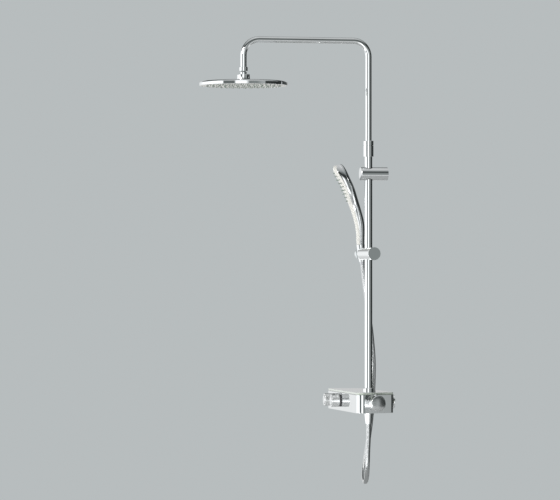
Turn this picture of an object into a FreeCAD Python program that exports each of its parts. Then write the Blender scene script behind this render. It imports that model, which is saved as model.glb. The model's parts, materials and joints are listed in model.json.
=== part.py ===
import FreeCAD, Part
import os
import math

os.makedirs("parts", exist_ok=True)

V = FreeCAD.Vector

# Rainfall shower column for a finished wall.
# Frame: origin at the centre of the wall bracket's back face. The wall is the
# plane Y = 0, the room is on -Y, +X is to the right, +Z is up.

# ---------------------------------------------------------------- dimensions
TUBE_Y = -55.0          # column axis, distance from the wall
RISER_R = 11.0          # lower tube, 22 mm
RISER_RI = 9.8
RISER_TOP = 60.0
ARM_R = 9.0             # upper tube and arm, 18 mm
ARM_RI = 7.8
ARM_Z = 382.0           # height of the arm's axis
ARM_BEND = 45.0
REACH = 367.5           # column axis to rain head axis
ARM_FOOT = -120.0       # lower end of the upper tube, inside the riser
ARM_TIP = 299.0
PIN_Z = 240.0

BR_R = 19.0             # wall bracket barrel
BR_LEN = 76.5
BR_HOLE_Z = 9.0         # two wall screw holes, above and below the centre

COL_R = 14.5            # telescopic collar
COL_Z0, COL_Z1, COL_Z2, COL_Z3 = 49.0, 81.5, 82.0, 95.0

HEAD_Y = TUBE_Y - REACH
BALL_Z = 293.6
BALL_R = 7.6
HEAD_R = 126.0
HEAD_BOT, HEAD_TOP = 249.0, 262.0
HUB_TOP = 282.0
NOZZLE_RINGS = [(18.0, 6), (36.0, 12), (54.0, 18), (71.5, 24), (88.5, 30), (105.0, 36)]

SL_Z = -230.0           # slider axis
SL_R = 18.0
SL_TURN = 5.0           # the slider stands turned a little about the tube
CONE_X = -62.0          # holder's cone, along the slider axis
CONE_TILT = 6.0

SHELF_TOP = -623.0      # mixer
SHELF_T = 6.0
BODY_BOT = -681.5
MIX_Z = -653.0
FRONT_Y, REAR_Y = -133.0, -22.5
FRONT_HW, REAR_HW = 194.0, 163.0
WALL_T = 3.0
CTRL_X = (-114.0, -30.0)
INLET_X = 75.0
THERMO = V(180.96, -86.5, MIX_Z)
END_ANG = math.atan2(FRONT_HW - REAR_HW, REAR_Y - FRONT_Y)
THERMO_DIR = V(math.cos(END_ANG), math.sin(END_ANG), 0)

HOSE_D = 14.0

X, Y, Z = V(1, 0, 0), V(0, 1, 0), V(0, 0, 1)


# ------------------------------------------------------------------- helpers
def cyl(p, d, r, h):
    return Part.makeCylinder(r, h, V(*p) if not isinstance(p, V) else p, d)


def tube(p, d, ro, ri, h):
    return cyl(p, d, ro, h).cut(cyl(p, d, ri, h))


def box(x0, y0, z0, x1, y1, z1):
    return Part.makeBox(x1 - x0, y1 - y0, z1 - z0, V(x0, y0, z0))


def frame_at(origin, axis):
    # placement that takes local Z to the axis
    return FreeCAD.Placement(origin, FreeCAD.Rotation(V(0, 0, 1), axis))


def rev(pts, origin, axis, arcs=()):
    # solid of revolution: pts are (r, s), s along the axis from the origin;
    # arcs maps the index of an edge to its middle point (r, s)
    arcs = dict(arcs)
    edges = []
    n = len(pts)
    for i in range(n):
        a, b = pts[i], pts[(i + 1) % n]
        va, vb = V(a[0], 0, a[1]), V(b[0], 0, b[1])
        if (va - vb).Length < 1e-7:
            continue
        if i in arcs:
            m = arcs[i]
            edges.append(Part.Arc(va, V(m[0], 0, m[1]), vb).toShape())
        else:
            edges.append(Part.LineSegment(va, vb).toShape())
    s = Part.Face(Part.Wire(edges)).revolve(V(0, 0, 0), V(0, 0, 1), 360)
    s.Placement = frame_at(origin, axis)
    return s


def soften(s, r, test):
    e = [x for x in s.Edges if test(x)]
    return s.makeFillet(r, e) if e else s


def fuse_all(shapes):
    s = shapes[0].multiFuse(shapes[1:])
    return s.removeSplitter()


def save(name, shape):
    if shape.ShapeType == "Compound" and len(shape.Solids) == 1:
        shape = shape.Solids[0]
    bad = [s for s in shape.Solids if not s.isValid() or s.Volume <= 0]
    bb = shape.BoundBox
    print("%-22s solids %2d  vol %10.1f  x %7.1f %7.1f  y %7.1f %7.1f  z %7.1f %7.1f%s" % (
        name, len(shape.Solids), shape.Volume, bb.XMin, bb.XMax, bb.YMin, bb.YMax,
        bb.ZMin, bb.ZMax, "  BAD" if bad or not shape.Solids else ""))
    shape.exportStep("parts/%s.step" % name)


TX = V(0, TUBE_Y, 0)


def on_tube(z):
    return V(0, TUBE_Y, z)


# ------------------------------------------------------------- lower column
riser = tube(on_tube(-640), Z, RISER_R, RISER_RI, 640 + RISER_TOP)
save("riser_tube", riser)

# wall bracket: hollow at the wall, where it slides over the fixing plate
barrel = cyl((0, 0, 0), -Y, BR_R, BR_LEN)
barrel = barrel.cut(cyl((0, 0, 0), -Y, 15.5, 34))
barrel = barrel.cut(cyl((0, TUBE_Y, -30), Z, 13.2, 60))
barrel = barrel.cut(cyl((0, -4.5, -30), Z, 2.5, 15))
save("bracket_barrel", barrel)

bush = tube(on_tube(-20), Z, 13.2, RISER_R, 40).common(cyl((0, -30, 0), -Y, 18.9, 50))
save("bracket_tube_bush", bush)

cap = rev([(0, 0), (BR_R, 0), (BR_R, 1.7), (BR_R - 0.8, 2.5), (0, 2.5)], V(0, -BR_LEN, 0), -Y)
save("bracket_end_cap", cap)

plate = cyl((0, 0, 0), -Y, 15.4, 8)
for sz in (-1, 1):
    plate = plate.cut(cyl((0, 0, sz * BR_HOLE_Z), -Y, 2.6, 8))
save("bracket_wall_plate", plate)
grub = cyl((0, -4.5, -18.6), Z, 2.5, 3.1).cut(cyl((0, -4.5, -18.6), Z, 1.2, 1.6))
save("bracket_grub_screw", grub)

# telescopic collar
collar = rev([(RISER_R, COL_Z0), (COL_R - 0.6, COL_Z0), (COL_R, COL_Z0 + 0.6), (COL_R, COL_Z1 - 0.4),
              (COL_R - 0.4, COL_Z1), (12.3, COL_Z1), (12.3, 91), (RISER_R, 91)], TX, Z)
save("collar_body", collar)
collet = rev([(9.15, 62), (10.9, 62), (10.9, 88), (10.1, 90.5), (9.15, 90.5)], TX, Z)
collet = collet.cut(box(-0.8, TUBE_Y + 5, 70, 0.8, TUBE_Y + 14, 95))
save("clamp_collet", collet)
lock = rev([(12.4, COL_Z2), (COL_R - 0.4, COL_Z2), (COL_R, COL_Z2 + 0.4), (COL_R, COL_Z3 - 0.8),
            (COL_R - 0.8, COL_Z3), (9.3, COL_Z3), (9.3, 91.6), (12.4, 91.6)], TX, Z)
save("lock_nut", lock)

# ------------------------------------------------------------ upper tube, arm
k = ARM_BEND * (1 - math.sqrt(0.5))
c1 = V(0, TUBE_Y - ARM_BEND, ARM_Z - ARM_BEND)
c2 = V(0, HEAD_Y + ARM_BEND, ARM_Z - ARM_BEND)
path = Part.Wire([
    Part.LineSegment(on_tube(ARM_FOOT), on_tube(ARM_Z - ARM_BEND)).toShape(),
    Part.Arc(on_tube(ARM_Z - ARM_BEND), V(0, TUBE_Y - k, ARM_Z - k), V(0, TUBE_Y - ARM_BEND, ARM_Z)).toShape(),
    Part.LineSegment(V(0, TUBE_Y - ARM_BEND, ARM_Z), V(0, HEAD_Y + ARM_BEND, ARM_Z)).toShape(),
    Part.Arc(V(0, HEAD_Y + ARM_BEND, ARM_Z), V(0, HEAD_Y + k, ARM_Z - k), V(0, HEAD_Y, ARM_Z - ARM_BEND)).toShape(),
    Part.LineSegment(V(0, HEAD_Y, ARM_Z - ARM_BEND), V(0, HEAD_Y, ARM_TIP)).toShape()])


def pipe(r):
    w = Part.Wire([Part.Circle(on_tube(ARM_FOOT), Z, r).toShape()])
    return path.makePipeShell([w], True, False)


arm = pipe(ARM_R).cut(pipe(ARM_RI))
arm = arm.cut(cyl((0, TUBE_Y - 5, PIN_Z), -Y, 1.6, 8))
save("arm_tube", arm)
pin = rev([(0, 0), (1.6, 0), (1.6, 2.2), (1.0, 2.9), (0, 2.9)], V(0, TUBE_Y - 7.85, PIN_Z), -Y)
save("depth_stop_pin", pin)

guide = rev([(5.5, -125), (9.3, -125), (9.7, -124.6), (9.7, -120.1), (7.7, -120.1), (7.7, -104), (5.5, -104)],
            TX, Z)
save("tube_guide_bush", guide)

# ---------------------------------------------------------------- rain head
H0 = V(0, HEAD_Y, 0)
nut = rev([(7.35, 291), (11.4, 291), (12.0, 291.6), (12.0, 302.2), (11.2, 303), (9.05, 303), (9.05, 298.95),
           (9.5, 298.95), (9.5, 292.1), (7.68, 292.1)], H0, Z)
save("ball_nut", nut)
seat = rev([(5.5, 292.3), (9.4, 292.3), (9.4, 298.8), (5.5, 298.8)], H0, Z)
seat = seat.cut(Part.makeSphere(BALL_R + 0.1, V(0, HEAD_Y, BALL_Z)))
save("ball_seat", seat)

ball = Part.makeSphere(BALL_R, V(0, HEAD_Y, BALL_Z))
neck = rev([(0, 266), (7.0, 266), (7.0, 286), (4.5, 287.5), (4.5, 291), (0, 291)], H0, Z)
ball = fuse_all([ball, neck]).cut(cyl((0, HEAD_Y, 260), Z, 3.0, 50))
save("swivel_ball", ball)

hub = rev([(7.0, 262), (19.5, 262), (19.5, 264), (18.0, 276), (18.0, 280.8), (16.8, HUB_TOP), (9.2, HUB_TOP),
           (9.2, 288.1), (8.6, 288.5), (7.0, 288.5)], H0, Z, {2: (18.55, 269.5)})
save("head_hub", hub)

# the top cover falls away very slightly from the hub to the rim
shell = rev([(9, HEAD_TOP), (HEAD_R - 14, HEAD_TOP - 0.6), (HEAD_R, HEAD_TOP - 4.6), (HEAD_R, HEAD_BOT + 1.0),
             (HEAD_R - 1.0, HEAD_BOT), (HEAD_R - 3.4, HEAD_BOT), (HEAD_R - 3.4, HEAD_TOP - 5.8),
             (HEAD_R - 14.5, HEAD_TOP - 2.8), (9, HEAD_TOP - 2.4)], H0, Z,
            {1: (HEAD_R - 3.6, HEAD_TOP - 1.7), 6: (HEAD_R - 6.0, HEAD_TOP - 3.9)})
save("rain_shell", shell)
gasket = tube(V(0, HEAD_Y, HEAD_TOP - 2.3), Z, 8.9, 7.05, 2.2)
save("head_gasket", gasket)


def ring_points(rings):
    out = []
    for j, (r, n) in enumerate(rings):
        for i in range(n):
            a = 2 * math.pi * (i + 0.5 * (j % 2)) / n
            out.append((r * math.cos(a), r * math.sin(a)))
    return out


pts = ring_points(NOZZLE_RINGS)
face = cyl((0, HEAD_Y, HEAD_BOT + 0.3), Z, HEAD_R - 3.6, 3.7)
face = face.cut(Part.makeCompound([cyl((x, HEAD_Y + y, HEAD_BOT), Z, 2.3, 5) for x, y in pts]))
save("rain_face", face)
sheet = cyl((0, HEAD_Y, HEAD_BOT + 4.05), Z, HEAD_R - 8, 1.4)
nubs = [Part.makeCone(1.45, 2.15, 6.4, V(x, HEAD_Y + y, HEAD_BOT - 2.2), Z) for x, y in pts]
mat = sheet.multiFuse(nubs)
save("rain_nozzle_mat", mat)

# ------------------------------------------------------------------- slider
# drawn along local X at the tube axis, then turned about the tube
TURN = FreeCAD.Placement(V(0, 0, 0), FreeCAD.Rotation(Z, SL_TURN), V(0, TUBE_Y, 0))
S0 = on_tube(SL_Z)


def turned(s):
    s = s.copy()
    s.Placement = TURN.multiply(s.Placement)
    return s


slb = tube(on_tube(SL_Z - 17), Z, 13.5, 11.12, 34).cut(box(9, TUBE_Y - 1, SL_Z - 20, 15, TUBE_Y + 1, SL_Z + 20))
slb = slb.common(cyl((-30, TUBE_Y, SL_Z), X, 17.9, 60))
save("slider_bush", turned(slb))

body = cyl((-40.5, TUBE_Y, SL_Z), X, SL_R, 74.5)
body = soften(body, 0.8, lambda e: abs(e.Length - 2 * math.pi * SL_R) < 0.1)
body = body.cut(cyl((0, TUBE_Y, SL_Z - 30), Z, 13.6, 60))
body = body.cut(cyl((5, TUBE_Y, SL_Z), X, 4.2, 40))
body = body.cut(cyl((-45, TUBE_Y, SL_Z), X, 6.15, 22))
save("slider_body", turned(body))
shoe = cyl((13.9, TUBE_Y, SL_Z), X, 4.1, 3.4)
save("clamp_shoe", turned(shoe))

KNOB_R = 18.7
knob = rev([(3.8, 34.8), (KNOB_R - 0.5, 34.8), (KNOB_R, 35.3), (KNOB_R, 51.5), (KNOB_R - 0.5, 52), (0, 52), (0, 40), (3.8, 40)],
           S0, X, {3: (KNOB_R - 0.15, 51.85)})
save("slider_knob", turned(knob))
kscrew = cyl((17.6, TUBE_Y, SL_Z), X, 3.8, 22.4)
save("knob_screw", turned(kscrew))

# cone holder: coaxial end piece with a tapered through hole and a hose slot
CT = math.radians(CONE_TILT)
cdir = V(0, -math.sin(CT), math.cos(CT))
CPL = FreeCAD.Placement(V(CONE_X, TUBE_Y, SL_Z), FreeCAD.Rotation(X, CONE_TILT))


def coned(s):
    s = s.copy()
    s.Placement = CPL.multiply(s.Placement)
    return s


holder = rev([(0, -80.5), (10, -80.5), (16.6, -75.5), (16.6, -41.1), (0, -41.1)], S0, X, {1: (14.6, -79.2)})
hole = Part.makeCone(9.15, 12.45, 50, V(0, 0, -23), Z)
hole = coned(hole.fuse(cyl((0, 0, -33), Z, 9.15, 11)))
slot = coned(box(-7.9, -30, -30, 7.9, 0, 30))
holder = holder.cut(hole).cut(slot).cut(cyl((-47, TUBE_Y, SL_Z), X, 6.0, 8))
save("cone_holder", turned(holder))
axle = cyl((-47, TUBE_Y, SL_Z), X, 6.0, 22.5)
save("holder_axle", turned(axle))

# ------------------------------------------------- hose cone and hand shower
cone = Part.makeCone(9.0, 12.1, 48, V(0, 0, -23), Z).fuse(cyl((0, 0, 25), Z, 12.1, 2)).removeSplitter()
cone = cone.cut(cyl((0, 0, -24), Z, 7.6, 20)).cut(cyl((0, 0, -4), Z, 9.6, 32))
save("upper_hose_nut", turned(coned(cone)))
uf = tube(V(0, 0, -31), Z, 7.5, 5.0, 26)
save("upper_hose_ferrule", turned(coned(uf)))

# hand shower drawn in the cone's frame: stations are (y, z, half width, half
# thickness) of its curved middle line, from the cone up to the tip of the head
STATIONS = [(0.0, 27.6, 11.2, 11.0), (0.0, 33, 11.4, 11.3), (1.1, 45, 11.9, 11.8), (2.6, 60, 12.3, 12.4), (3.2, 76, 12.8, 13.3),
            (2.4, 92, 13.2, 13.9), (0.2, 108, 13.9, 14.1), (-3.2, 126, 15.2, 14.3), (-7.6, 145, 18.3, 14.8),
            (-12.2, 164, 24.0, 15.6), (-17.0, 184, 29.2, 16.2), (-23.0, 204, 30.9, 16.2), (-29.4, 221, 29.8, 16.5),
            (-34.6, 234, 26.6, 17.2), (-38.6, 243.5, 22.6, 17.3), (-41.8, 251.5, 17.6, 16.4), (-44.0, 258.0, 12.0, 14.2),
            (-45.0, 262.6, 6.5, 10.5)]


def tangents(st):
    out = []
    for i in range(len(st)):
        a, b = st[max(0, i - 1)], st[min(len(st) - 1, i + 1)]
        t = V(0, b[0] - a[0], b[1] - a[1])
        t.normalize()
        out.append(t)
    return out


def section(c, t, hw, ht, ef=3.2, eb=2.2):
    # closed smooth section: flatter front (towards -Y), rounder back
    nrm = V(0, -t.z, t.y)          # points forward, to -Y
    pts = []
    n = 28
    for i in range(n):
        a = 2 * math.pi * i / n
        ca, sa = math.cos(a), math.sin(a)
        e = ef if sa > 0 else eb
        ex = 2.0 / e
        px = hw * math.copysign(abs(ca) ** (2.0 / 2.6), ca)
        pn = ht * math.copysign(abs(sa) ** ex, sa)
        pts.append(c + V(px, 0, 0) + nrm * pn)
    b = Part.BSplineCurve()
    b.interpolate(pts, True)
    return Part.Wire([b.toShape()])


def handset_solid(inset):
    tg = tangents(STATIONS)
    ws = []
    rng = range(len(STATIONS)) if inset == 0 else range(0, len(STATIONS) - 2)
    for i in rng:
        y, z, hw, ht = STATIONS[i]
        ws.append(section(V(0, y, z), tg[i], hw - inset, ht - inset))
    return Part.makeLoft(ws, True, False)


outer = handset_solid(0)
inner = handset_solid(2.8)


def front_band(depth, x, i0=0, i1=None):
    # everything within depth of the front surface, as a slab swept across X
    tg = tangents(STATIONS)
    i1 = len(STATIONS) if i1 is None else i1
    back, front = [], []
    for i in range(i0, i1):
        y, z, hw, ht = STATIONS[i]
        nrm = V(0, -tg[i].z, tg[i].y)
        c = V(-x, y, z)
        back.append(c + nrm * (ht - depth))
        front.append(c + nrm * (ht + 12))
    t0, t1 = tg[i0], tg[i1 - 1]
    # run straight on at both ends
    back = [back[0] - t0 * 10] + back + [back[-1] + t1 * 10]
    front = [front[0] - t0 * 10] + front + [front[-1] + t1 * 10]
    sb = Part.BSplineCurve()
    sb.interpolate(back)
    edges = [sb.toShape(), Part.LineSegment(back[-1], front[-1]).toShape()]
    for i in range(len(front) - 1, 0, -1):
        edges.append(Part.LineSegment(front[i], front[i - 1]).toShape())
    edges.append(Part.LineSegment(front[0], back[0]).toShape())
    return Part.Face(Part.Wire(Part.__sortEdges__(edges))).extrude(V(2 * x, 0, 0))


FACE_D = 8.4
HAND_TURN = -10.6       # the hand shower stands turned a little in its nut
slab = front_band(FACE_D, 45)
hface = outer.common(slab)
hback = outer.cut(slab).cut(inner)
# nozzle holes over the head, in rows square to the middle line
HN = []
tgs = tangents(STATIONS)


def at(s):
    # middle line and its forward normal at height z = s in the cone frame
    for i in range(len(STATIONS) - 1):
        a, b = STATIONS[i], STATIONS[i + 1]
        if a[1] <= s <= b[1]:
            f = (s - a[1]) / (b[1] - a[1])
            m = [a[j] + f * (b[j] - a[j]) for j in range(4)]
            t = tgs[i] * (1 - f) + tgs[i + 1] * f
            t.normalize()
            return V(0, m[0], m[1]), V(0, -t.z, t.y), m[2], m[3]


for z, xs in ((160, (-7, 7)), (171, (-13.5, 0, 13.5)), (182, (-19, -6.5, 6.5, 19)), (193, (-20.5, -10.5, 0, 10.5, 20.5)),
              (204, (-20.5, -6.8, 6.8, 20.5)), (215, (-20.5, -10.5, 0, 10.5, 20.5)), (226, (-17.5, -6, 6, 17.5)),
              (237, (-12, 0, 12)), (246.5, (-5, 5))):
    for x in xs:
        HN.append((x, z))
holes, nubs = [], []
for x, z in HN:
    c, nrm, hw, ht = at(z)
    p = c + V(x, 0, 0)
    holes.append(Part.makeCylinder(1.9, 15, p + nrm * (ht - 10), nrm))
    nubs.append(Part.makeCone(1.75, 1.2, 12.2, p + nrm * (ht - 9.2), nrm))
hface = hface.cut(Part.makeCompound(holes))
# room for the water tube
hface = hface.cut(cyl((0, 0, 20), Z, 4.4, 43))


def facing(s):
    s = s.copy()
    s.rotate(V(0, 0, 0), Z, HAND_TURN)
    return turned(coned(s))


save("handset_shell", facing(hback))
save("handset_face", facing(hface))
# silicone mat behind the face, its nubs standing out through the holes
msheet = inner.common(front_band(FACE_D + 1.4, 45)).cut(slab)
msheet = msheet.common(box(-40, -120, 152, 40, 60, 250))
hmat = msheet.multiFuse(nubs).cut(hback)
save("handset_nozzle_mat", facing(hmat))
# threaded end and water tube inside the grip
conn = rev([(3.2, 0), (9.5, 0), (9.5, 27.5), (4.2, 27.5), (4.2, 62), (3.2, 62)], V(0, 0, 0), Z)
save("handset_connector", turned(coned(conn)))


# -------------------------------------------------------------------- mixer
def plan(inset, z0, z1, rf=18.0, rr=10.0):
    # inverted trapezoid seen from above: wide front, narrow back
    ca = math.cos(END_ANG)
    yf, yr = FRONT_Y + inset, REAR_Y - inset
    slope = (FRONT_HW - REAR_HW) / (REAR_Y - FRONT_Y)
    xf = FRONT_HW - slope * (yf - FRONT_Y) - inset / ca
    xr = FRONT_HW - slope * (yr - FRONT_Y) - inset / ca
    f = Part.Face(Part.makePolygon([V(xf, yf, z0), V(xr, yr, z0), V(-xr, yr, z0), V(-xf, yf, z0), V(xf, yf, z0)]))
    s = f.extrude(V(0, 0, z1 - z0))
    fr = [e for e in s.Edges if abs(e.Vertexes[0].X - e.Vertexes[1].X) < 1e-6 and abs(e.Vertexes[0].Y - e.Vertexes[1].Y) < 1e-6]
    s = s.makeFillet(max(rf - inset, 1.0), [e for e in fr if e.Vertexes[0].Y < (FRONT_Y + REAR_Y) / 2])
    fr = [e for e in s.Edges if e.Curve.TypeId == "Part::GeomLine" and
          abs(e.Vertexes[0].X - e.Vertexes[1].X) < 1e-6 and abs(e.Vertexes[0].Y - e.Vertexes[1].Y) < 1e-6
          and e.Vertexes[0].Y > yr - 0.5]
    return s.makeFillet(max(rr - inset, 1.0), fr)


SH_TOP = SHELF_TOP - SHELF_T - 0.8
shell = plan(0, BODY_BOT, SH_TOP)
shell = soften(shell, 1.2, lambda e: abs(e.BoundBox.ZMax - BODY_BOT) < 1e-6)
shell = shell.cut(plan(WALL_T, BODY_BOT + WALL_T, SH_TOP + 5))
for x in CTRL_X:
    shell = shell.cut(cyl((x, FRONT_Y - 5, MIX_Z), Y, 12.8, 20))
for sx in (-1, 1):
    shell = shell.cut(cyl((sx * INLET_X, REAR_Y - 10, MIX_Z), Y, 11.6, 20))
shell = shell.cut(cyl(THERMO - THERMO_DIR * 15, THERMO_DIR, 16.2, 30))
shell = shell.cut(cyl(on_tube(BODY_BOT - 5), Z, 10.9, 15))
save("mixer_shell", shell)

gask = plan(0.6, SH_TOP, SHELF_TOP - SHELF_T).cut(plan(2.6, SH_TOP - 1, SHELF_TOP))
save("shelf_gasket", gask)
glass = plan(0, SHELF_TOP - SHELF_T, SHELF_TOP)
glass = soften(glass, 0.7, lambda e: abs(e.BoundBox.ZMin - SHELF_TOP) < 1e-6)
glass = glass.cut(cyl(on_tube(SHELF_TOP - 20), Z, 12.5, 40))
save("glass_shelf", glass)
foot = rev([(RISER_R, SHELF_TOP), (15.5, SHELF_TOP), (15.5, SHELF_TOP + 5.6), (14.1, SHELF_TOP + 7), (RISER_R, SHELF_TOP + 7)],
           TX, Z)
save("riser_foot_nut", foot)

# brass waterway
BY = -85.0
blk = [cyl((-140, BY, MIX_Z), X, 15, 258), cyl((0, BY, MIX_Z), Y, 14, BY * -1 - 55),
       cyl(on_tube(-674.5), Z, 14, 43.5), cyl(on_tube(-693), Z, 10.4, 30),
       cyl(THERMO - THERMO_DIR * 78, THERMO_DIR, 20, 70)]
for x in CTRL_X:
    blk.append(cyl((x, BY, MIX_Z), -Y, 16, 41))
for sx in (-1, 1):
    blk.append(cyl((sx * INLET_X, BY, MIX_Z), Y, 11, BY * -1 - 24))
    blk.append(cyl((sx * INLET_X, BY, MIX_Z), Y, 10.4, BY * -1 - 15))
blk = fuse_all(blk)
cut = [cyl((-132, BY, MIX_Z), X, 8.5, 238), cyl((0, BY, MIX_Z), Y, 7.5, 30), cyl(on_tube(-700), Z, 7.5, 75),
       cyl(on_tube(-640.2), Z, 11.0, 20), cyl(THERMO - THERMO_DIR * 74, THERMO_DIR, 17, 80)]
for x in CTRL_X:
    cut.append(cyl((x, -95.8, MIX_Z), -Y, 12.5, 40))
    cut.append(cyl((x, BY, MIX_Z), -Y, 7, 40))
for sx in (-1, 1):
    cut.append(cyl((sx * INLET_X, BY, MIX_Z), Y, 7, 90))
blk = blk.cut(Part.makeCompound(cut[:4]))
for c in cut[4:]:
    blk = blk.cut(c)
save("valve_block", blk)

tc = rev([(0, -73), (16.8, -73), (16.8, -8.2), (15.6, -8.2), (15.6, 6), (6.0, 6), (6.0, 22), (0, 22)], THERMO, THERMO_DIR)
save("thermo_cartridge", tc)
fcs = []
for x in CTRL_X:
    fcs.append(rev([(0, 96), (12.4, 96), (12.4, 137), (5.0, 137), (5.0, 146), (0, 146)], V(x, 0, MIX_Z), -Y))
save("flow_cartridges", Part.makeCompound(fcs))
save("thermo_base_ring", rev([(15.9, 0), (23.6, 0), (23.6, 2.2), (22.8, 3), (15.9, 3)], THERMO, THERMO_DIR))
rings = [rev([(12.6, 133), (17.4, 133), (17.4, 135.6), (17.0, 136), (12.6, 136)], V(x, 0, MIX_Z), -Y) for x in CTRL_X]
save("control_base_rings", Part.makeCompound(rings))

# wall connections, hot on the left and cold on the right
parts = {"eccentric_unions": [], "inlet_nuts": [], "wall_flanges": [], "inlet_strainers": []}
for sx in (-1, 1):
    o = V(sx * INLET_X, 0, MIX_Z)
    parts["eccentric_unions"].append(rev([(9.5, 0), (11.5, 0), (11.5, 8.9), (8.9, 8.9), (8.9, 10.5), (10.5, 10.5), (10.5, 13.5),
                                          (6.5, 13.5), (6.5, 8.5), (9.5, 8.5)], o, -Y))
    parts["inlet_strainers"].append(rev([(5, 13.55), (10.3, 13.55), (10.3, 14.95), (5, 14.95)], o, -Y))
    hexa = Part.Face(Part.makePolygon([V(17.3 * math.cos(math.radians(60 * i)), 17.3 * math.sin(math.radians(60 * i)), 9)
                                       for i in range(7)])).extrude(V(0, 0, 13))
    hexa.Placement = frame_at(o, -Y)
    hexa = hexa.cut(cyl(o, -Y, 9.05, 30)).cut(cyl(o - Y * 10.4, -Y, 10.55, 20))
    hexa = hexa.common(rev([(0, 8), (15.4, 8), (15.4, 9), (17.4, 10.6), (17.4, 20.5), (15.4, 22), (0, 22)], o, -Y))
    parts["inlet_nuts"].append(hexa)
    parts["wall_flanges"].append(rev([(11.6, 0), (20, 0), (20, 1.2), (17.2, 4.8), (13, 6.2), (11.6, 6.2)], o, -Y,
                                     {2: (19.2, 3.4)}))
for n, s in parts.items():
    save(n, Part.makeCompound(s))

# temperature handle on the right end, square to the slanted end face
th = rev([(16.2, 3.6), (22.8, 3.6), (23.2, 4.0), (23.2, 29.6), (20.4, 32.3), (1.0, 35.2), (0, 35.2), (0, 24), (6.2, 24),
          (6.2, 8), (16.2, 8)], THERMO, THERMO_DIR, {3: (22.5, 31.5), 4: (10.9, 34.5)})
sb0 = THERMO + THERMO_DIR * 14
th = th.cut(cyl(sb0 + Z * 12, Z, 4.7, 20))
save("temp_handle", th)
save("temp_stop_button", rev([(0, 14.2), (4.5, 14.2), (4.5, 24.6), (3.9, 25.1), (0, 25.1)], sb0, Z))

# two front controls: turning ring with a push button in its middle
for name, x in (("rain", CTRL_X[1]), ("hand", CTRL_X[0])):
    o = V(x, 0, MIX_Z)
    r = rev([(13.4, 136.6), (17.6, 136.6), (18, 137), (18, 157.8), (16.8, 159), (13.2, 159), (13.2, 148.5),
             (5.3, 148.5), (5.3, 139), (13.4, 139)], o, -Y, {3: (17.65, 158.65)})
    save(name + "_control_ring", r)
    save(name + "_push_button", rev([(0, 151.9), (12.9, 151.9), (12.9, 159.8), (12.2, 160.5), (1.0, 160.9), (0, 160.9)], o, -Y,
                                    {3: (6.6, 160.8)}))

# --------------------------------------------------------------------- hose
on = rev([(10.45, -681.9), (11.6, -681.9), (12.2, -682.5), (12.2, -689), (9.0, -719), (7.6, -719), (7.6, -695.2),
          (10.45, -693.2)], TX, Z)
save("outlet_nut", on)
save("lower_hose_washer", rev([(5, -695), (7.5, -695), (7.5, -693.05), (5, -693.05)], TX, Z))
save("lower_hose_ferrule", tube(on_tube(-719), Z, 7.5, 5.0, 23.9))

# it leaves the hand shower's cone square to it, and meets the outlet from below
start = TURN.multVec(CPL.multVec(V(0, 0, -31)))
below = TURN.multVec(CPL.multVec(V(0, 0, -71)))
ROUTE = [(start.x, start.y, start.z), (below.x, below.y, below.z), (-66.5, -45.0, -352), (-72.0, -35.0, -412), (-80.5, -25.2, -476),
         (-95.5, -16.0, -542), (-113.0, -12.4, -602), (-126.5, -12.0, -660), (-130.0, -15.0, -712),
         (-131.6, -21.0, -760), (-132.4, -27.4, -805), (-131.8, -33.4, -841.7), (-114.3, -40.4, -872.3), (-83.7, -46.6, -890),
         (-48.3, -51.4, -890), (-17.7, -55.6, -872.3), (0.2, -58.4, -841.7), (1.2, -57.6, -800), (0.0, TUBE_Y, -759),
         (0.0, TUBE_Y, -719)]
print("hose start", start, below)


def hose(route, dia):
    p = [V(*q) for q in route]
    n = len(p)
    segs, last, length = [], p[0], 0.0
    for i in range(1, n - 1):
        a, b = p[i - 1] - p[i], p[i + 1] - p[i]
        la, lb = a.Length, b.Length
        a.normalize()
        b.normalize()
        turn = math.pi - a.getAngle(b)
        t = 0.45 * min(la, lb)
        r = t / math.tan(turn / 2)
        print("  hose point %2d run %5.1f turn %5.1f deg radius %7.1f (%.1f dia)" % (i, la, math.degrees(turn), r, r / dia))
        s, e = p[i] + a * t, p[i] + b * t
        m = a + b
        m.normalize()
        mid = p[i] + m * (r / math.cos(turn / 2) - r)
        segs.append(Part.LineSegment(last, s).toShape())
        segs.append(Part.Arc(s, mid, e).toShape())
        last = e
    segs.append(Part.LineSegment(last, p[-1]).toShape())
    w = Part.Wire(segs)
    d = p[1] - p[0]
    prof = Part.Wire([Part.Circle(p[0], d, dia / 2).toShape()])
    s = w.makePipeShell([prof], True, False)
    print("  hose length %.1f volume ratio %.4f" % (w.Length, s.Volume / (w.Length * math.pi * dia * dia / 4)))
    return s


save("shower_hose", hose(ROUTE, HOSE_D))
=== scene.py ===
import bpy
import bmesh
import json
import math
from mathutils import Vector, Matrix


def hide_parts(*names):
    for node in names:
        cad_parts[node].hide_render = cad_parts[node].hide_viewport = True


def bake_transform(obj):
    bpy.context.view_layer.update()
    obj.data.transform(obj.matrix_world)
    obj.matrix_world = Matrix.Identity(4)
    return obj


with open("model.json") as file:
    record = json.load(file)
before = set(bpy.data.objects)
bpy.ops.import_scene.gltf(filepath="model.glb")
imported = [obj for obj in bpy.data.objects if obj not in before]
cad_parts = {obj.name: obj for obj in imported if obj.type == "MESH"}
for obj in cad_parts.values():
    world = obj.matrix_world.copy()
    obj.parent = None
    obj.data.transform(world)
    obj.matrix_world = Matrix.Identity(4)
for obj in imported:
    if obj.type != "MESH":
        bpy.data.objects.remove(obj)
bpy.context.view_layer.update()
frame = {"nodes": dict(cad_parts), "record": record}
nodes = frame["nodes"]
scene = bpy.context.scene
scene.view_settings.view_transform = "Standard"
scene.view_settings.look = "None"

X, Y, Z = Vector((1, 0, 0)), Vector((0, 1, 0)), Vector((0, 0, 1))
TUBE_Y = -0.055
TUBE = Vector((0, TUBE_Y, 0))

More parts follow.
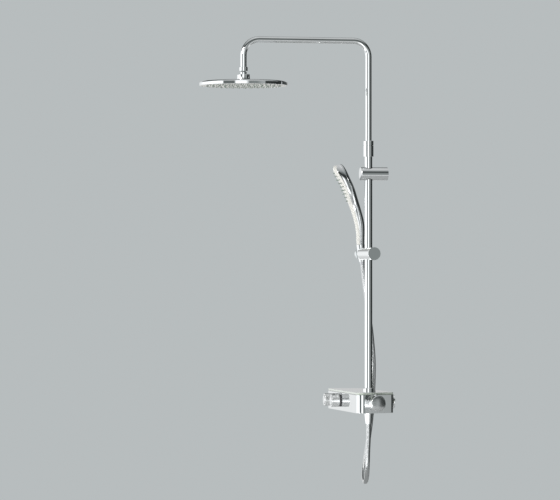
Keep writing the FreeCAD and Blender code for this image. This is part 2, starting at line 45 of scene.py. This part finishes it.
# ------------------------------------------------------------------- camera
FWD = Vector((-0.97645, 0.21576, 0.0)).normalized()
RIGHT = FWD.cross(Z)
cam_data = bpy.data.cameras.new("camera")
cam_data.sensor_width = 36.0
cam_data.lens = 3300.0 / 560.0 * 36.0
cam_data.shift_y = 17.0 / 560.0
cam_data.clip_start, cam_data.clip_end = 0.1, 100.0
cam = bpy.data.objects.new("camera", cam_data)
scene.collection.objects.link(cam)
cam.location = (9.2213, -2.3535, -0.2681)
cam.rotation_mode = "QUATERNION"
cam.rotation_quaternion = FWD.to_track_quat("-Z", "Y")
scene.camera = cam


# ---------------------------------------------------------------- materials
class Nodes:
    def __init__(self, name):
        self.mat = bpy.data.materials.new(name)
        self.mat.use_nodes = True
        self.t = self.mat.node_tree
        self.b = next(n for n in self.t.nodes if n.type == "BSDF_PRINCIPLED")
        self.tc = self.t.nodes.new("ShaderNodeTexCoord")

    def add(self, kind, **values):
        n = self.t.nodes.new(kind)
        for k, v in values.items():
            if hasattr(n, k):
                setattr(n, k, v)
            else:
                n.inputs[k.replace("_", " ")].default_value = v
        return n

    def link(self, a, b):
        self.t.links.new(a, b)

    def set(self, **values):
        for k, v in values.items():
            self.b.inputs[k.replace("_", " ")].default_value = v
        return self

    def mapped(self, scale=(1, 1, 1), rot=(0, 0, 0)):
        m = self.add("ShaderNodeMapping")
        m.inputs["Scale"].default_value = scale
        m.inputs["Rotation"].default_value = rot
        self.link(self.tc.outputs["Object"], m.inputs["Vector"])
        return m.outputs["Vector"]

    def noise(self, scale, detail=3.0, rough=0.5, vec=None, distort=0.0):
        n = self.add("ShaderNodeTexNoise")
        n.inputs["Scale"].default_value = scale
        n.inputs["Detail"].default_value = detail
        n.inputs["Roughness"].default_value = rough
        n.inputs["Distortion"].default_value = distort
        self.link(vec if vec is not None else self.tc.outputs["Object"], n.inputs["Vector"])
        return n.outputs["Fac"]

    def ramp(self, fac, stops, kind="LINEAR"):
        r = self.add("ShaderNodeValToRGB")
        r.color_ramp.interpolation = kind
        e = r.color_ramp.elements
        while len(e) < len(stops):
            e.new(0.5)
        for i, (p, c) in enumerate(stops):
            e[i].position = p
            e[i].color = (*c, 1.0) if len(c) == 3 else c
        self.link(fac, r.inputs["Fac"])
        return r.outputs["Color"]

    def remap(self, fac, a, b, f0=0.3, f1=0.7):
        m = self.add("ShaderNodeMapRange")
        m.inputs["From Min"].default_value = f0
        m.inputs["From Max"].default_value = f1
        m.inputs["To Min"].default_value = a
        m.inputs["To Max"].default_value = b
        self.link(fac, m.inputs["Value"])
        return m.outputs["Result"]

    def math(self, op, a, b=None):
        m = self.add("ShaderNodeMath", operation=op)
        for i, v in enumerate((a, b)):
            if v is None:
                continue
            if isinstance(v, (int, float)):
                m.inputs[i].default_value = v
            else:
                self.link(v, m.inputs[i])
        return m.outputs[0]

    def mix(self, fac, a, b):
        m = self.add("ShaderNodeMix", data_type="RGBA")
        self.link(fac, m.inputs["Factor"]) if not isinstance(fac, float) else None
        if isinstance(fac, float):
            m.inputs["Factor"].default_value = fac
        for name, v in (("A", a), ("B", b)):
            s = next(i for i in m.inputs if i.name == name and i.type == "RGBA")
            if isinstance(v, tuple):
                s.default_value = (*v, 1.0)
            else:
                self.link(v, s)
        return next(o for o in m.outputs if o.type == "RGBA")

    def colour(self, out):
        self.link(out, self.b.inputs["Base Color"])
        return self

    def rough(self, out):
        self.link(out, self.b.inputs["Roughness"])
        return self

    def bump(self, height, strength, distance):
        b = self.add("ShaderNodeBump")
        b.inputs["Strength"].default_value = strength
        b.inputs["Distance"].default_value = distance
        self.link(height, b.inputs["Height"])
        self.link(b.outputs["Normal"], self.b.inputs["Normal"])
        return self


def plated(name, tone, r0, r1, wave, grain):
    # bright plating: faint cloudiness, drying marks and a polish that is not quite even
    m = Nodes(name).set(Metallic=1.0)
    cloud = m.noise(14.0, 4.0, 0.55)
    hi_c = tuple(min(1.0, c * 1.02) for c in tone)
    lo_c = tuple(c * 0.965 for c in tone)
    m.colour(m.ramp(cloud, [(0.3, lo_c), (0.7, hi_c)]))
    fine = m.noise(220.0, 5.0, 0.6)
    spots = m.remap(m.noise(55.0, 6.0, 0.7), 0.0, 0.02, 0.62, 0.72)
    base = m.remap(fine, r0, r1)
    m.rough(m.math("ADD", base, spots))
    h = m.math("ADD", m.math("MULTIPLY", m.noise(38.0, 2.0, 0.4), wave), m.math("MULTIPLY", fine, grain))
    m.bump(h, 0.35, 0.0002)
    return m.mat


CHROME = plated("chrome_plate", (0.87, 0.885, 0.89), 0.018, 0.040, 0.025, 0.002)
PLATED = plated("chrome_on_plastic", (0.86, 0.875, 0.885), 0.025, 0.05, 0.03, 0.002)
BRUSHED_END = plated("chrome_end_face", (0.80, 0.815, 0.82), 0.07, 0.12, 0.03, 0.01)
SATIN = plated("satin_chrome_controls", (0.84, 0.85, 0.855), 0.20, 0.28, 0.03, 0.004)
next(n for n in SATIN.node_tree.nodes if n.type == "BSDF_PRINCIPLED").inputs["Metallic"].default_value = 0.6
HANDLE = plated("soft_chrome_handle", (0.88, 0.89, 0.895), 0.22, 0.28, 0.03, 0.004)


def moulded(name, tone, rough, grain=0.5, coat=0.0, sub=0.0):
    m = Nodes(name).set(Metallic=0.0, Coat_Weight=coat, Coat_Roughness=0.12, Subsurface_Weight=sub)
    if sub:
        m.b.inputs["Subsurface Radius"].default_value = (0.004, 0.004, 0.003)
        m.b.inputs["Subsurface Scale"].default_value = 0.5
    c = m.noise(9.0, 3.0, 0.5)
    f = m.noise(1400.0, 4.0, 0.6)
    m.colour(m.ramp(c, [(0.3, tuple(v * 0.955 for v in tone)), (0.7, tone)]))
    m.rough(m.remap(m.noise(90.0, 5.0, 0.6), rough * 0.86, rough * 1.14))
    m.bump(m.math("ADD", f, m.math("MULTIPLY", c, 0.6)), grain * 0.3, 0.00008)
    return m.mat


CREAM = moulded("satin_cream_plastic", (0.90, 0.885, 0.835), 0.36, 0.0, 0.14)
NYLON = moulded("dark_nylon", (0.07, 0.07, 0.075), 0.52, 0.9)
WHITE_NYLON = moulded("pale_acetal", (0.74, 0.75, 0.74), 0.42, 0.5)
RUBBER = moulded("seal_rubber", (0.03, 0.03, 0.032), 0.66, 1.0)


def silicone():
    m = Nodes("nozzle_silicone").set(Metallic=0.0, IOR=1.42, Subsurface_Weight=0.25)
    m.b.inputs["Subsurface Radius"].default_value = (0.002, 0.003, 0.0024)
    m.b.inputs["Subsurface Scale"].default_value = 0.4
    c = m.noise(160.0, 4.0, 0.6)
    m.colour(m.ramp(c, [(0.3, (0.25, 0.30, 0.27)), (0.7, (0.37, 0.42, 0.39))]))
    m.rough(m.remap(m.noise(700.0, 3.0, 0.5), 0.34, 0.5))
    m.bump(m.noise(2600.0, 2.0, 0.5), 0.25, 0.00005)
    return m.mat


SILICONE = silicone()


def brushed(name, tone, r0, r1, stretch, anis=0.5):
    m = Nodes(name).set(Metallic=1.0, Anisotropic=anis)
    v = m.mapped(stretch)
    lines = m.noise(60.0, 6.0, 0.7, vec=v)
    m.colour(m.ramp(lines, [(0.25, tuple(c * 0.86 for c in tone)), (0.75, tone)]))
    m.rough(m.remap(lines, r0, r1))
    m.bump(lines, 0.25, 0.00012)
    return m.mat


STEEL = brushed("turned_steel", (0.62, 0.63, 0.65), 0.2, 0.36, (6, 6, 60))
BRASS = brushed("cast_and_machined_brass", (0.72, 0.53, 0.24), 0.26, 0.44, (12, 20, 12), 0.2)


def glass():
    # back-painted toughened glass: a clear green-tinged body over a pale ground
    m = Nodes("shelf_glass").set(Metallic=0.0, IOR=1.52, Roughness=0.03, Coat_Weight=1.0, Coat_Roughness=0.015, Coat_IOR=1.5)
    g = m.add("ShaderNodeNewGeometry")
    s = m.add("ShaderNodeSeparateXYZ")
    m.link(g.outputs["Normal"], s.inputs[0])
    side = m.remap(m.math("ABSOLUTE", s.outputs["Z"]), 1.0, 0.0, 0.05, 0.75)
    c = m.noise(7.0, 3.0, 0.5)
    ground = m.ramp(c, [(0.3, (0.47, 0.515, 0.485)), (0.7, (0.53, 0.575, 0.545))])
    p = m.add("ShaderNodeSeparateXYZ")
    m.link(m.tc.outputs["Object"], p.inputs[0])
    # green-tinged edge with painted shade: its colour darkens towards the lower arris and lightens towards the top as
    # painted light from above, not a property of the glass
    depth = m.remap(p.outputs["Z"], 0.0, 1.0, -0.629, -0.623)
    edge_tone_painted_shade = m.ramp(depth, [(0.0, (0.40, 0.46, 0.40)), (0.25, (0.60, 0.66, 0.58)), (0.8, (0.74, 0.79, 0.71)), (1.0, (0.80, 0.84, 0.78))])
    m.colour(m.mix(side, ground, edge_tone_painted_shade))
    m.rough(m.remap(m.noise(120.0, 5.0, 0.6), 0.02, 0.06))
    m.bump(m.noise(18.0, 2.0, 0.4), 0.08, 0.0001)
    return m.mat


GLASS = glass()


def hose_skin():
    m = Nodes("metallised_hose").set(Metallic=1.0, Coat_Weight=0.2, Coat_Roughness=0.08)
    c = m.noise(26.0, 4.0, 0.6)
    m.colour(m.ramp(c, [(0.3, (0.52, 0.535, 0.54)), (0.7, (0.60, 0.61, 0.615))]))
    m.rough(m.remap(m.noise(420.0, 4.0, 0.6), 0.06, 0.10))
    m.bump(m.noise(900.0, 3.0, 0.5), 0.06, 0.00004)
    return m.mat


HOSE = hose_skin()

FINISH = {
    "chrome": CHROME, "plated_plastic": PLATED, "cream_plastic": CREAM, "nozzle_silicone": SILICONE, "nylon": NYLON,
    "steel": STEEL, "brass": BRASS, "seal_rubber": RUBBER, "shelf_glass": GLASS, "hose_skin": HOSE}
for part in frame["record"]["subparts"]:
    o = nodes[part["node"]]
    o.data.materials.clear()
    o.data.materials.append(FINISH[part["material_slot"]])


def dress(node, mat):
    nodes[node].data.materials.clear()
    nodes[node].data.materials.append(mat)


for n in ("rain_control_ring", "hand_control_ring", "rain_push_button", "hand_push_button"):
    dress(n, SATIN)
dress("temp_handle", HANDLE)
for n in ("ball_seat", "slider_bush", "tube_guide_bush", "handset_connector"):
    dress(n, WHITE_NYLON)


# -------------------------------------------------------------------- hose
ROUTE = [(-0.0620465, -0.0571756, -0.2608302), (-0.0624109, -0.0530104, -0.3006111), (-0.0665, -0.045, -0.352), (-0.072, -0.035, -0.412),
         (-0.0805, -0.0252, -0.476), (-0.0955, -0.016, -0.542), (-0.113, -0.0124, -0.602), (-0.1265, -0.012, -0.66),
         (-0.13, -0.015, -0.712), (-0.1316, -0.021, -0.76), (-0.1324, -0.0274, -0.805), (-0.1318, -0.0334, -0.8417),
         (-0.1143, -0.0404, -0.8723), (-0.0837, -0.0466, -0.89), (-0.0483, -0.0514, -0.89), (-0.0177, -0.0556, -0.8723),
         (0.0002, -0.0584, -0.8417), (0.0012, -0.0576, -0.8), (0.0, -0.055, -0.759), (0.0, -0.055, -0.719)]


def nurbs_line(name, points, resolution=40):
    cu = bpy.data.curves.new(name, "CURVE")
    cu.dimensions = "3D"
    sp = cu.splines.new("NURBS")
    sp.points.add(len(points) - 1)
    for p, q in zip(sp.points, points):
        p.co = (*q, 1.0)
    sp.order_u = 3
    sp.use_endpoint_u = True
    sp.resolution_u = resolution
    ob = bpy.data.objects.new(name, cu)
    scene.collection.objects.link(ob)
    bpy.context.view_layer.update()
    me = bpy.data.meshes.new_from_object(ob)
    line = [v.co.copy() for v in me.vertices]
    bpy.data.meshes.remove(me)
    bpy.data.objects.remove(ob)
    bpy.data.curves.remove(cu)
    return line


def even(line, step):
    out, carry = [line[0].copy()], 0.0
    for a, b in zip(line, line[1:]):
        d = (b - a).length
        t = step - carry
        while t <= d:
            out.append(a.lerp(b, t / d))
            t += step
        carry = d - (t - step)
    if (out[-1] - line[-1]).length > step * 0.3:
        out.append(line[-1].copy())
    else:
        out[-1] = line[-1].copy()
    return out


def new_mesh(name, verts, faces, mat, sharp=None):
    me = bpy.data.meshes.new(name)
    me.from_pydata([tuple(v) for v in verts], [], faces)
    me.update()
    me.polygons.foreach_set("use_smooth", [True] * len(me.polygons))
    if sharp:
        me.set_sharp_from_angle(angle=math.radians(sharp))
    ob = bpy.data.objects.new(name, me)
    scene.collection.objects.link(ob)
    me.materials.append(mat)
    return ob


def sweep(name, line, radius, segs, mat, sharp=None):
    # tube round a line, radius given as a function of the distance along it; parallel frames, closed ends
    verts, faces = [], []
    t = (line[1] - line[0]).normalized()
    u = t.orthogonal().normalized()
    s = 0.0
    for i, p in enumerate(line):
        a, b = line[max(0, i - 1)], line[min(len(line) - 1, i + 1)]
        t2 = (b - a).normalized()
        u = (u - t2 * u.dot(t2)).normalized()
        w = t2.cross(u)
        if i:
            s += (p - line[i - 1]).length
        r = radius(s)
        for k in range(segs):
            an = 2 * math.pi * k / segs
            verts.append(p + u * (r * math.cos(an)) + w * (r * math.sin(an)))
    for i in range(len(line) - 1):
        for k in range(segs):
            k2 = (k + 1) % segs
            faces.append((i * segs + k, i * segs + k2, (i + 1) * segs + k2, (i + 1) * segs + k))
    faces.append(tuple(reversed(range(segs))))
    last = (len(line) - 1) * segs
    faces.append(tuple(last + k for k in range(segs)))
    return new_mesh(name, verts, faces, mat, sharp)


hose_line = nurbs_line("hose_guide", ROUTE)
PITCH = 0.0036
ring_line = even(hose_line, PITCH / 6)


def rib(s):
    # rounded hoops with a narrow groove between them
    f = (s / PITCH) % 1.0
    g = abs(f - 0.5) * 2.0
    return 0.007 - 0.00024 * max(0.0, (g - 0.40) / 0.60) ** 2


hose = sweep("ribbed_hose", ring_line, rib, 22, HOSE)
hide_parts("shower_hose")
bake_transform(hose)

# ------------------------------------------------------------------- stage
me = bpy.data.meshes.new("floor")
bm = bmesh.new()
bmesh.ops.create_circle(bm, cap_ends=True, radius=3.2, segments=96)
bm.to_mesh(me)
bm.free()
floor = bpy.data.objects.new("floor", me)
scene.collection.objects.link(floor)
floor.location = (0, -0.3, -1.85)
fm = Nodes("floor_paint").set(Metallic=0.0, Roughness=0.6)
fm.colour(fm.ramp(fm.noise(3.0, 3.0, 0.5), [(0.3, (0.84, 0.85, 0.85)), (0.7, (0.88, 0.89, 0.89))]))
me.materials.append(fm.mat)

world = bpy.data.worlds.new("studio")
scene.world = world
world.use_nodes = True
wt = world.node_tree
for n in list(wt.nodes):
    wt.nodes.remove(n)


def wmath(op, a, b=None, c=None):
    m = wt.nodes.new("ShaderNodeMath")
    m.operation = op
    for i, v in enumerate((a, b, c)):
        if v is None:
            continue
        if isinstance(v, (int, float)):
            m.inputs[i].default_value = v
        else:
            wt.links.new(v, m.inputs[i])
    return m.outputs[0]


def wramp(fac, stops):
    r = wt.nodes.new("ShaderNodeValToRGB")
    e = r.color_ramp.elements
    while len(e) < len(stops):
        e.new(0.5)
    for i, (p, v) in enumerate(stops):
        e[i].position = p
        # the darker parts of the room are slightly green
        t = max(0.0, 1.0 - v / 0.6)
        e[i].color = (v * (0.985 - 0.12 * t), v, v * (1.005 - 0.02 * t), 1.0)
    wt.links.new(fac, r.inputs["Fac"])
    return r.outputs["Color"]


tc = wt.nodes.new("ShaderNodeTexCoord")
sx = wt.nodes.new("ShaderNodeSeparateXYZ")
wt.links.new(tc.outputs["Generated"], sx.inputs[0])
wx, wy, wz = sx.outputs
# direction along and across the room axis that the column faces
along = wmath("ADD", wmath("MULTIPLY", wx, -FWD.x), wmath("MULTIPLY", wy, -FWD.y))
across = wmath("ADD", wmath("MULTIPLY", wx, RIGHT.x), wmath("MULTIPLY", wy, RIGHT.y))
phi = wmath("ARCTAN2", across, along)
turn = wmath("MULTIPLY_ADD", phi, 1 / (2 * math.pi), 0.5)


def d(deg):
    return (deg + 180.0) / 360.0


ring = wramp(turn, [(d(-180), 0.62), (d(-168), 0.86), (d(-150), 0.90), (d(-125), 1.30), (d(-57), 1.50), (d(-52), 0.16), (d(-23), 0.16),
                    (d(-18), 1.45), (d(6), 1.35), (d(16), 0.24), (d(36), 0.25), (d(48), 0.38), (d(58), 0.44), (d(61), 0.05),
                    (d(104), 0.025), (d(150), 0.08), (d(180), 0.62)])
lift = wmath("MULTIPLY_ADD", wz, 0.5, 0.5)
# up and down: a pale ceiling, a dark soffit line, the bright floor zone and its far edge
rise = wramp(lift, [(0.0, 0.38), (0.06, 0.55), (0.15, 0.80), (0.30, 0.70), (0.44, 0.42), (0.58, 0.17), (0.71, 0.035), (0.78, 0.04),
                    (0.86, 0.34), (0.98, 0.60), (1.0, 0.70)])
steep = wmath("SMOOTH_MIN", 1.0, wmath("MAXIMUM", 0.0, wmath("MULTIPLY_ADD", wmath("ABSOLUTE", wz), 4.5, -0.75)), 0.2)
mixn = wt.nodes.new("ShaderNodeMix")
mixn.data_type = "RGBA"
wt.links.new(steep, mixn.inputs["Factor"])
rgba = [i for i in mixn.inputs if i.type == "RGBA"]
wt.links.new(ring, rgba[0])
wt.links.new(rise, rgba[1])
env = wt.nodes.new("ShaderNodeBackground")
wt.links.new(next(o for o in mixn.outputs if o.type == "RGBA"), env.inputs["Color"])
env.inputs["Strength"].default_value = 1.0
sky = wt.nodes.new("ShaderNodeBackground")
sky.inputs["Color"].default_value = (0.477, 0.508, 0.515, 1.0)
sky.inputs["Strength"].default_value = 1.0
lp = wt.nodes.new("ShaderNodeLightPath")
ms = wt.nodes.new("ShaderNodeMixShader")
wo = wt.nodes.new("ShaderNodeOutputWorld")
wt.links.new(lp.outputs["Is Camera Ray"], ms.inputs[0])
wt.links.new(env.outputs[0], ms.inputs[1])
wt.links.new(sky.outputs[0], ms.inputs[2])
wt.links.new(ms.outputs[0], wo.inputs[0])


def softbox(name, pos, aim, size, power, tint=(1, 1, 1)):
    li = bpy.data.lights.new(name, "AREA")
    li.shape = "RECTANGLE"
    li.size, li.size_y = size
    li.energy = power
    li.color = tint
    ob = bpy.data.objects.new(name, li)
    scene.collection.objects.link(ob)
    ob.location = pos
    ob.rotation_mode = "QUATERNION"
    ob.rotation_quaternion = (Vector(aim) - Vector(pos)).to_track_quat("-Z", "Y")
    return ob


softbox("key", (1.2, -3.4, 1.6), (0, -0.1, -0.2), (1.8, 1.4), 46.0, (1.0, 0.99, 0.97))
softbox("low_fill", (1.4, -2.6, -1.7), (0, -0.3, 0.0), (1.8, 1.0), 26.0)
softbox("side_fill", (3.2, -0.7, -1.5), (0, -0.2, -0.3), (1.6, 0.8), 9.0)
